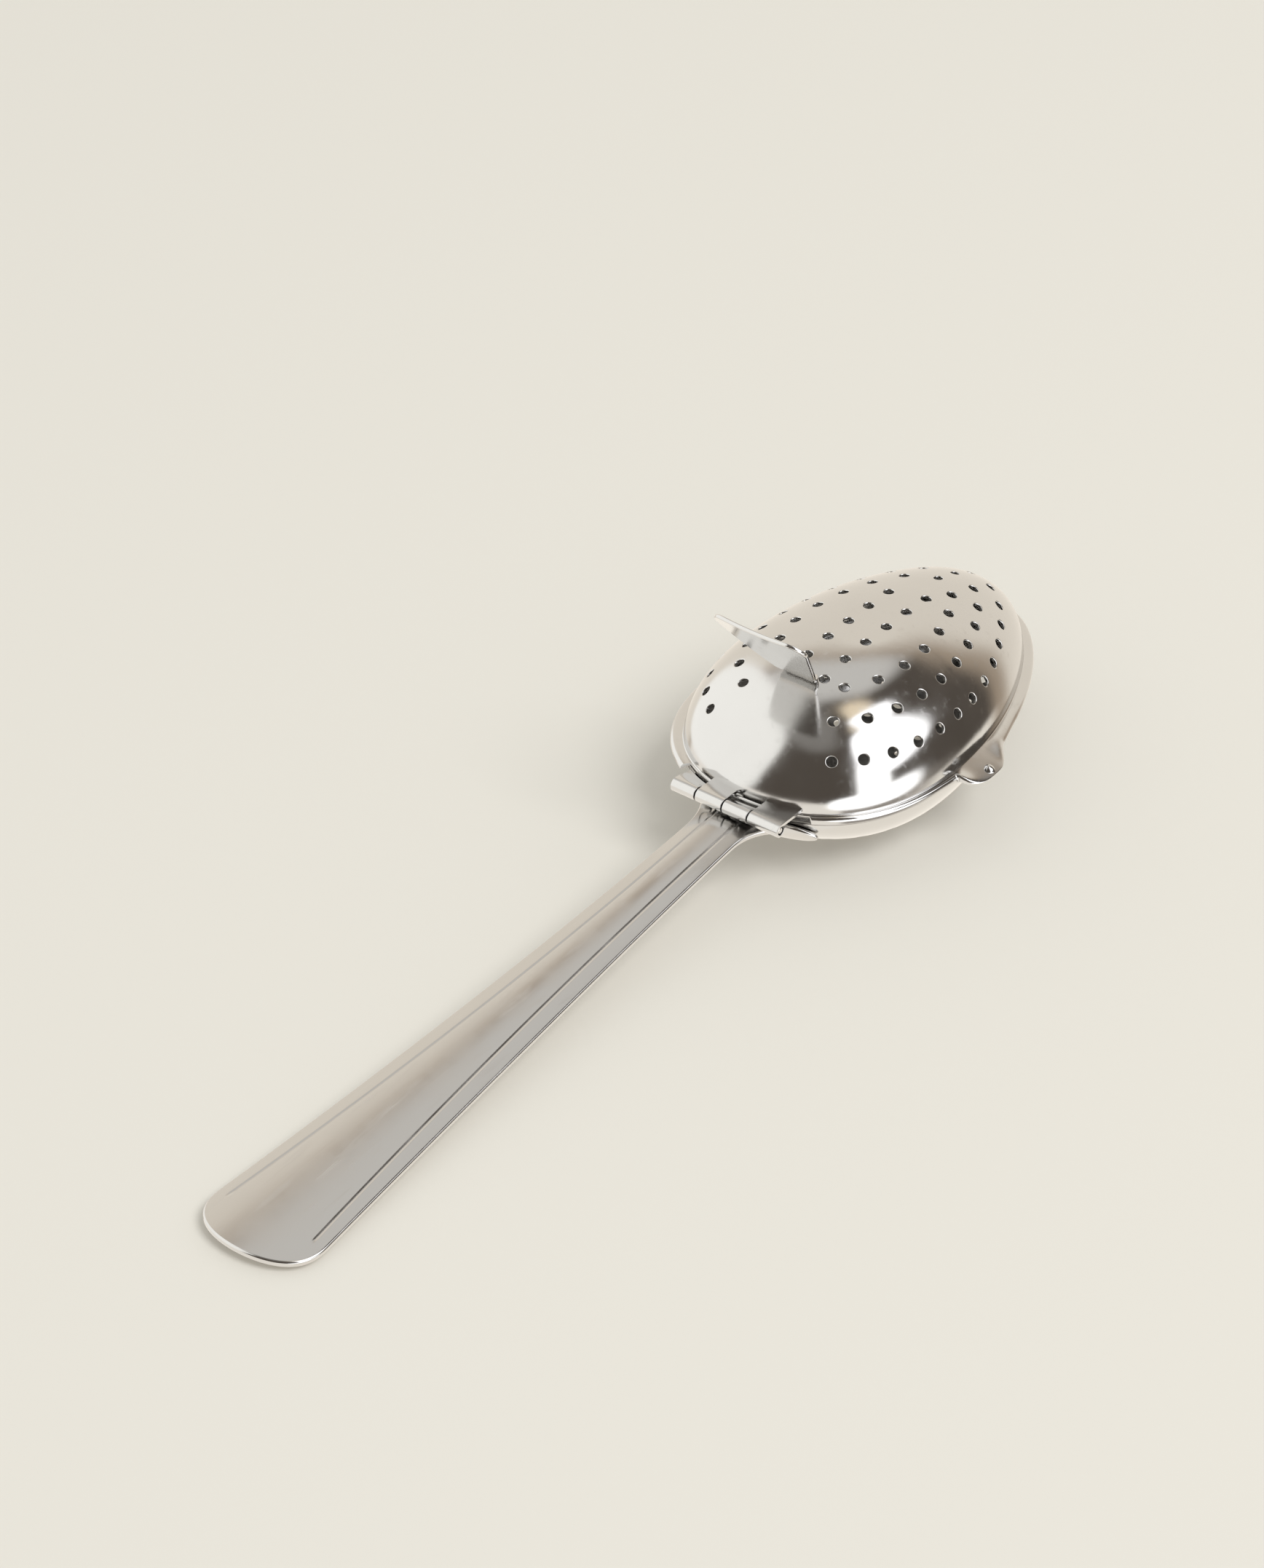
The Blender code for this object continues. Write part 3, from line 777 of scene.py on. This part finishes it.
def make_tab(lid, material):
    """The fan-shaped plate that leans back over the hinge, on a short foot set on the lid."""
    top = np.interp(-TAB_FOOT_Y / HALF_LENGTH, lid.shares, lid.heights)
    foot = np.array([TAB_FOOT_Y, LID_RIM_Z + (LID_TOP_Z - LID_RIM_Z) * top + 0.02])
    bend = np.array(TAB_BEND)
    tip = np.array(TAB_TIP)
    before = bend + unit(foot - bend) * TAB_BEND_REACH
    after = bend + unit(tip - bend) * TAB_BEND_REACH
    part = np.linspace(0, 1, 20)[:, None]
    curve = before * (1 - part) ** 2 + bend * 2 * part * (1 - part) + after * part ** 2
    path = resample(np.concatenate([foot[None], curve, tip[None]]), 0.05, closed=False)
    run = np.concatenate([[0], np.cumsum(np.linalg.norm(np.diff(path, axis=0), axis=1))])
    total = run[-1]
    across = np.array([-(tip - bend)[1], (tip - bend)[0]]) / np.linalg.norm(tip - bend)

    def surface(flat):
        way = flat[:, 1]
        place = np.column_stack([np.interp(way, run, path[:, 0]), np.interp(way, run, path[:, 1])])
        over = way > total
        place[over] += (way[over] - total)[:, None] * unit(tip - bend)
        share = np.clip(way / total, 0, 1)
        dish = TAB_DISH * share ** 2 * (flat[:, 0] / TAB_TIP_HALF) ** 2
        return np.column_stack([flat[:, 0] + TAB_X, place + dish[:, None] * across])

    corner = []
    for angle in np.radians(np.linspace(0, 90, 16)):
        corner.append((TAB_TIP_HALF - TAB_CORNER * (1 - math.cos(angle)),
                       total - TAB_CORNER * (1 - math.sin(angle))))
    right = []
    for way in np.linspace(0, total - TAB_CORNER, 60)[:-1]:
        share = max(0.0, way - 2.0) / (total - TAB_CORNER - 2.0)
        half = TAB_ROOT_HALF + (TAB_TIP_HALF - TAB_ROOT_HALF) * share ** 0.85
        half -= TAB_FOOT_ROUND * max(0.0, 1 - way / (2 * TAB_FOOT_ROUND)) ** 2
        right.append((half, way))
    right += corner
    left = [(-x, way) for x, way in reversed(right)]
    build = Build()
    plate(build, resample(np.array(right + left), 0.3), surface, TAB_T, 0.25, 0.6)
    return build.finish("tab_plate", material)


def make_pin(material):
    """The hinge pin, with rounded ends set a little way into the barrel."""
    build = Build()
    half = BARREL_HALF - PIN_RECESS
    dome = PIN_DOME
    turn = np.linspace(0, 2 * math.pi, 48, endpoint=False)
    around = np.column_stack([np.cos(turn), np.sin(turn)])
    stations = []
    for angle in np.radians((80, 60, 40, 20, 0)):
        x = -half + dome * (1 - math.sin(angle))
        radius = PIN_R - dome + dome * math.cos(angle)
        stations.append((x, radius, -math.sin(angle)))
    stations += [(-x, radius, -lean) for x, radius, lean in reversed(stations)]
    rows = []
    for x, radius, lean in stations:
        points = np.column_stack([np.full(48, x), around * radius + (HINGE_Y, HINGE_Z)])
        normals = np.column_stack([np.full(48, lean), around * math.sqrt(1 - lean * lean)])
        rows.append(build.add(points, normals))
    for row, other in zip(rows, rows[1:]):
        build.strip(row, other)
    build.faces.append(rows[0].tolist())
    build.faces.append(rows[-1].tolist())
    return build.finish("pin_rod", material)


# ---------------------------------------------------------------- materials and light

class Nodes:
    """Short calls for building a node tree."""

    def __init__(self, tree):
        self.tree = tree
        self.links = tree.links

    def add(self, kind, **settings):
        node = self.tree.nodes.new(kind)
        for name, value in settings.items():
            setattr(node, name, value)
        return node

    def put(self, socket, value):
        if isinstance(value, bpy.types.NodeSocket):
            self.links.new(value, socket)
        else:
            socket.default_value = value

    def math(self, operation, *values):
        node = self.add("ShaderNodeMath", operation=operation)
        for socket, value in zip(node.inputs, values):
            self.put(socket, value)
        return node.outputs[0]

    def ramp(self, value, low, high, to_low=0.0, to_high=1.0):
        node = self.add("ShaderNodeMapRange", interpolation_type="SMOOTHSTEP")
        for name, given in zip(("Value", "From Min", "From Max", "To Min", "To Max"),
                               (value, low, high, to_low, to_high)):
            self.put(node.inputs[name], given)
        return node.outputs["Result"]

    def mix(self, factor, first, second):
        node = self.add("ShaderNodeMix", data_type="RGBA")
        self.put(node.inputs["Factor"], factor)
        self.put(node.inputs[6], first)
        self.put(node.inputs[7], second)
        return node.outputs[2]


def linear(red, green, blue):
    """A colour from 0-255 display values, as linear RGBA."""
    found = []
    for value in (red, green, blue):
        value = value / 255
        found.append(value / 12.92 if value <= 0.04045 else ((value + 0.055) / 1.055) ** 2.4)
    return (*found, 1.0)


def steel(name, base, roughness, scratch, grain):
    """Steel with cloudy variation, fine wear and a faint waviness."""
    material = bpy.data.materials.new(name)
    material.use_nodes = True
    nodes = Nodes(material.node_tree)
    shader = material.node_tree.nodes["Principled BSDF"]
    shader.inputs["Metallic"].default_value = 1.0
    place = nodes.add("ShaderNodeTexCoord").outputs["Object"]
    cloud = nodes.add("ShaderNodeTexNoise")
    nodes.put(cloud.inputs["Vector"], place)
    cloud.inputs["Scale"].default_value = 160.0
    cloud.inputs["Detail"].default_value = 4.0
    stretch = nodes.add("ShaderNodeMapping")
    nodes.put(stretch.inputs["Vector"], place)
    stretch.inputs["Scale"].default_value = grain
    fine = nodes.add("ShaderNodeTexNoise")
    nodes.put(fine.inputs["Vector"], stretch.outputs["Vector"])
    fine.inputs["Scale"].default_value = 1000.0
    fine.inputs["Detail"].default_value = 3.0
    dark = tuple(c * 0.955 for c in base) + (1.0,)
    light = tuple(min(1.0, c * 1.03) for c in base) + (1.0,)
    nodes.put(shader.inputs["Base Color"], nodes.mix(cloud.outputs["Fac"], dark, light))
    rough = nodes.ramp(cloud.outputs["Fac"], 0.3, 0.7, roughness * 0.8, roughness * 1.25)
    wear = nodes.ramp(fine.outputs["Fac"], 0.55, 0.75, 0.0, roughness * 0.5)
    nodes.put(shader.inputs["Roughness"], nodes.math("ADD", rough, wear))
    bump = nodes.add("ShaderNodeBump")
    bump.inputs["Strength"].default_value = scratch
    bump.inputs["Distance"].default_value = 0.00002
    nodes.put(bump.inputs["Height"], fine.outputs["Fac"])
    nodes.put(shader.inputs["Normal"], bump.outputs["Normal"])
    return material


# How much of the studio's brightness the steel gives back, which the studio makes up for.
REFLECTANCE = 0.62

# Light from all round on matt surfaces: display colour and strength.
AMBIENT = (226, 225, 221)
AMBIENT_STRENGTH = 0.9

# The studio round the object: rounded patches by azimuth (degrees right of straight ahead in the
# main view) and elevation: centre, half sizes, squareness, softness, display colour.
ROOM = (74, 68, 62)
PATCHES = (
    ("low_table", 0, -62, 400, 42, 8, 0.06, (218, 212, 202)),
    ("front_foot", 178, -20, 85, 16, 3, 0.2, (140, 134, 127)),
    ("left_table", -120, -40, 75, 36, 6, 0.06, (220, 215, 207)),
    ("back_grey", -110, 80, 80, 15, 4, 0.3, (118, 115, 111)),
    ("ceiling", -5, 57, 36, 13, 3, 0.3, (186, 184, 180)),
    ("top_cream", 65, 77, 60, 6.5, 2.5, 0.3, (222, 206, 180)),
    ("backdrop_edge", 5, 3, 57, 43, 3.2, 0.06, (148, 134, 118)),
    ("backdrop", 2, 2, 51, 40, 3.0, 0.09, (205, 198, 187)),
    ("seam", -37, 38, 9, 17, 2, 0.35, (172, 158, 155)),
    ("left_panel", -75, 24, 48, 42, 3.2, 0.06, (233, 232, 228)),
    ("right_panel", 118, 46, 33, 28, 4, 0.09, (290, 290, 292)),
    ("right_top", 84, 71, 28, 12.5, 2.5, 0.12, (290, 290, 292)),
    ("right_mid", 139, 18, 14, 26, 4, 0.09, (290, 290, 290)),
    ("right_low", 140, -9, 37, 13, 3, 0.12, (290, 290, 290)),
)


def make_world():
    """Mirrored rays see the studio's patches; everything else gets plain ambient light."""
    world = bpy.data.worlds.new("studio")
    bpy.context.scene.world = world
    world.use_nodes = True
    tree = world.node_tree
    nodes = Nodes(tree)
    background = tree.nodes["Background"]
    split = nodes.add("ShaderNodeSeparateXYZ")
    nodes.put(split.inputs[0], nodes.add("ShaderNodeTexCoord").outputs["Generated"])
    x, y, z = split.outputs
    azimuth = nodes.math("ARCTAN2", x, y)
    azimuth = nodes.math("MULTIPLY", azimuth, 180 / math.pi)
    azimuth = nodes.math("ADD", azimuth, math.degrees(VIEW_AZIMUTH))
    elevation = nodes.math("MULTIPLY", nodes.math("ARCSINE", z), 180 / math.pi)
    colour = linear(*ROOM)
    for _, raz, el, half_raz, half_el, square, soft, shown in PATCHES:
        off = nodes.math("WRAP", nodes.math("SUBTRACT", azimuth, float(raz)), 180.0, -180.0)
        across = nodes.math("DIVIDE", off, float(half_raz))
        across = nodes.math("POWER", nodes.math("ABSOLUTE", across), float(square))
        up = nodes.math("DIVIDE", nodes.math("SUBTRACT", elevation, float(el)), float(half_el))
        up = nodes.math("POWER", nodes.math("ABSOLUTE", up), float(square))
        reach = nodes.math("POWER", nodes.math("ADD", across, up), 1 / square)
        mask = nodes.ramp(reach, 1 - soft, 1 + soft, 1.0, 0.0)
        colour = nodes.mix(mask, colour, linear(*shown))
    nodes.put(background.inputs["Color"], colour)
    background.inputs["Strength"].default_value = 1 / REFLECTANCE
    plain = nodes.add("ShaderNodeBackground")
    plain.inputs["Color"].default_value = linear(*AMBIENT)
    plain.inputs["Strength"].default_value = AMBIENT_STRENGTH
    choose = nodes.add("ShaderNodeMixShader")
    nodes.put(choose.inputs[0], nodes.add("ShaderNodeLightPath").outputs["Is Glossy Ray"])
    nodes.put(choose.inputs[1], plain.outputs[0])
    nodes.put(choose.inputs[2], background.outputs[0])
    nodes.put(tree.nodes["World Output"].inputs["Surface"], choose.outputs[0])


def make_floor():
    size = 3.0
    mesh = bpy.data.meshes.new("floor")
    corners = [(-size, -size, 0), (size, -size, 0), (size, size, 0), (-size, size, 0)]
    mesh.from_pydata(corners, [], [(0, 1, 2, 3)])
    floor = bpy.data.objects.new("floor", mesh)
    floor.location.z = -0.0002
    bpy.context.scene.collection.objects.link(floor)
    material = bpy.data.materials.new("floor_paper")
    material.use_nodes = True
    nodes = Nodes(material.node_tree)
    shader = material.node_tree.nodes["Principled BSDF"]
    cloud = nodes.add("ShaderNodeTexNoise")
    cloud.inputs["Scale"].default_value = 3.0
    nodes.put(shader.inputs["Base Color"],
              nodes.mix(cloud.outputs["Fac"], linear(233, 230, 222), linear(228, 225, 217)))
    shader.inputs["Roughness"].default_value = 0.9
    shader.inputs["Specular IOR Level"].default_value = 0.1
    mesh.materials.append(material)
    floor.visible_glossy = False


def area_light(name, azimuth, elevation, distance, size, power, colour):
    """A soft light that only lights matt surfaces, placed by direction round the bowl."""
    light = bpy.data.lights.new(name, "AREA")
    light.shape = "DISK"
    light.size = size
    light.energy = power
    light.color = colour
    obj = bpy.data.objects.new(name, light)
    a, e = math.radians(azimuth), math.radians(elevation)
    direction = Vector((math.sin(a) * math.cos(e), math.cos(a) * math.cos(e), math.sin(e)))
    obj.location = direction * distance
    obj.rotation_mode = "QUATERNION"
    obj.rotation_quaternion = direction.to_track_quat("Z", "Y")
    obj.visible_glossy = False
    obj.visible_camera = False
    bpy.context.scene.collection.objects.link(obj)


def make_camera():
    right0 = Vector((math.cos(VIEW_AZIMUTH), math.sin(VIEW_AZIMUTH), 0))
    away = Vector((-math.sin(VIEW_AZIMUTH), math.cos(VIEW_AZIMUTH), 0))
    up = Vector((0, 0, 1))
    forward = away * math.cos(VIEW_ELEVATION) - up * math.sin(VIEW_ELEVATION)
    down0 = away * -math.sin(VIEW_ELEVATION) - up * math.cos(VIEW_ELEVATION)
    right = right0 * math.cos(VIEW_ROLL) - down0 * math.sin(VIEW_ROLL)
    down = right0 * math.sin(VIEW_ROLL) + down0 * math.cos(VIEW_ROLL)
    hinge = Vector((0, HINGE_Y, HINGE_Z))
    place = hinge - (right * VIEW_AIM[0] + down * VIEW_AIM[1] + forward * VIEW_AIM[2])
    camera = bpy.data.cameras.new("camera")
    camera.lens = VIEW_LENS
    camera.sensor_width = 36.0
    camera.clip_start = 0.01
    camera.clip_end = 20.0
    obj = bpy.data.objects.new("camera", camera)
    turn = Matrix((right, -down, -forward)).transposed()
    obj.matrix_world = Matrix.Translation(place * MM) @ turn.to_4x4()
    bpy.context.scene.collection.objects.link(obj)
    bpy.context.scene.camera = obj


# ---------------------------------------------------------------- the scene

def main():
    bpy.context.scene.view_settings.view_transform = "Standard"
    polished = steel("polished_steel_look", (0.635, 0.628, 0.617), 0.14, 0.12, (1.0, 1.0, 1.0))
    satin = steel("satin_steel_look", (0.62, 0.61, 0.595), 0.17, 0.25, (1.0, 0.08, 1.0))
    lid, lid_shape = make_shell("lid_shell", LID_RIM_Z, LID_TOP_Z, lid_brim, (1, 3), polished)
    bowl, bowl_shape = make_shell("bowl_shell", BOWL_RIM_Z, 0.0, bowl_flange, (0, 2), polished)
    pieces = (
        (lid, "lid", "lid", "polished_steel"),
        (bowl, "bowl", "lower_bowl", "polished_steel"),
        (make_handle(bowl_shape, satin), "bowl", "handle", "satin_steel"),
        (make_tab(lid_shape, polished), "lid", "thumb_tab", "polished_steel"),
        (make_pin(polished), "bowl", "hinge_pin", "polished_steel"),
    )
    for piece, body, node, slot in pieces:
        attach(piece, body)
        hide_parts(node)
    make_world()
    make_floor()
    area_light("key", 92, 52, 3.0, 1.7, 40.5, (1.0, 0.995, 0.99))
    make_camera()


main()
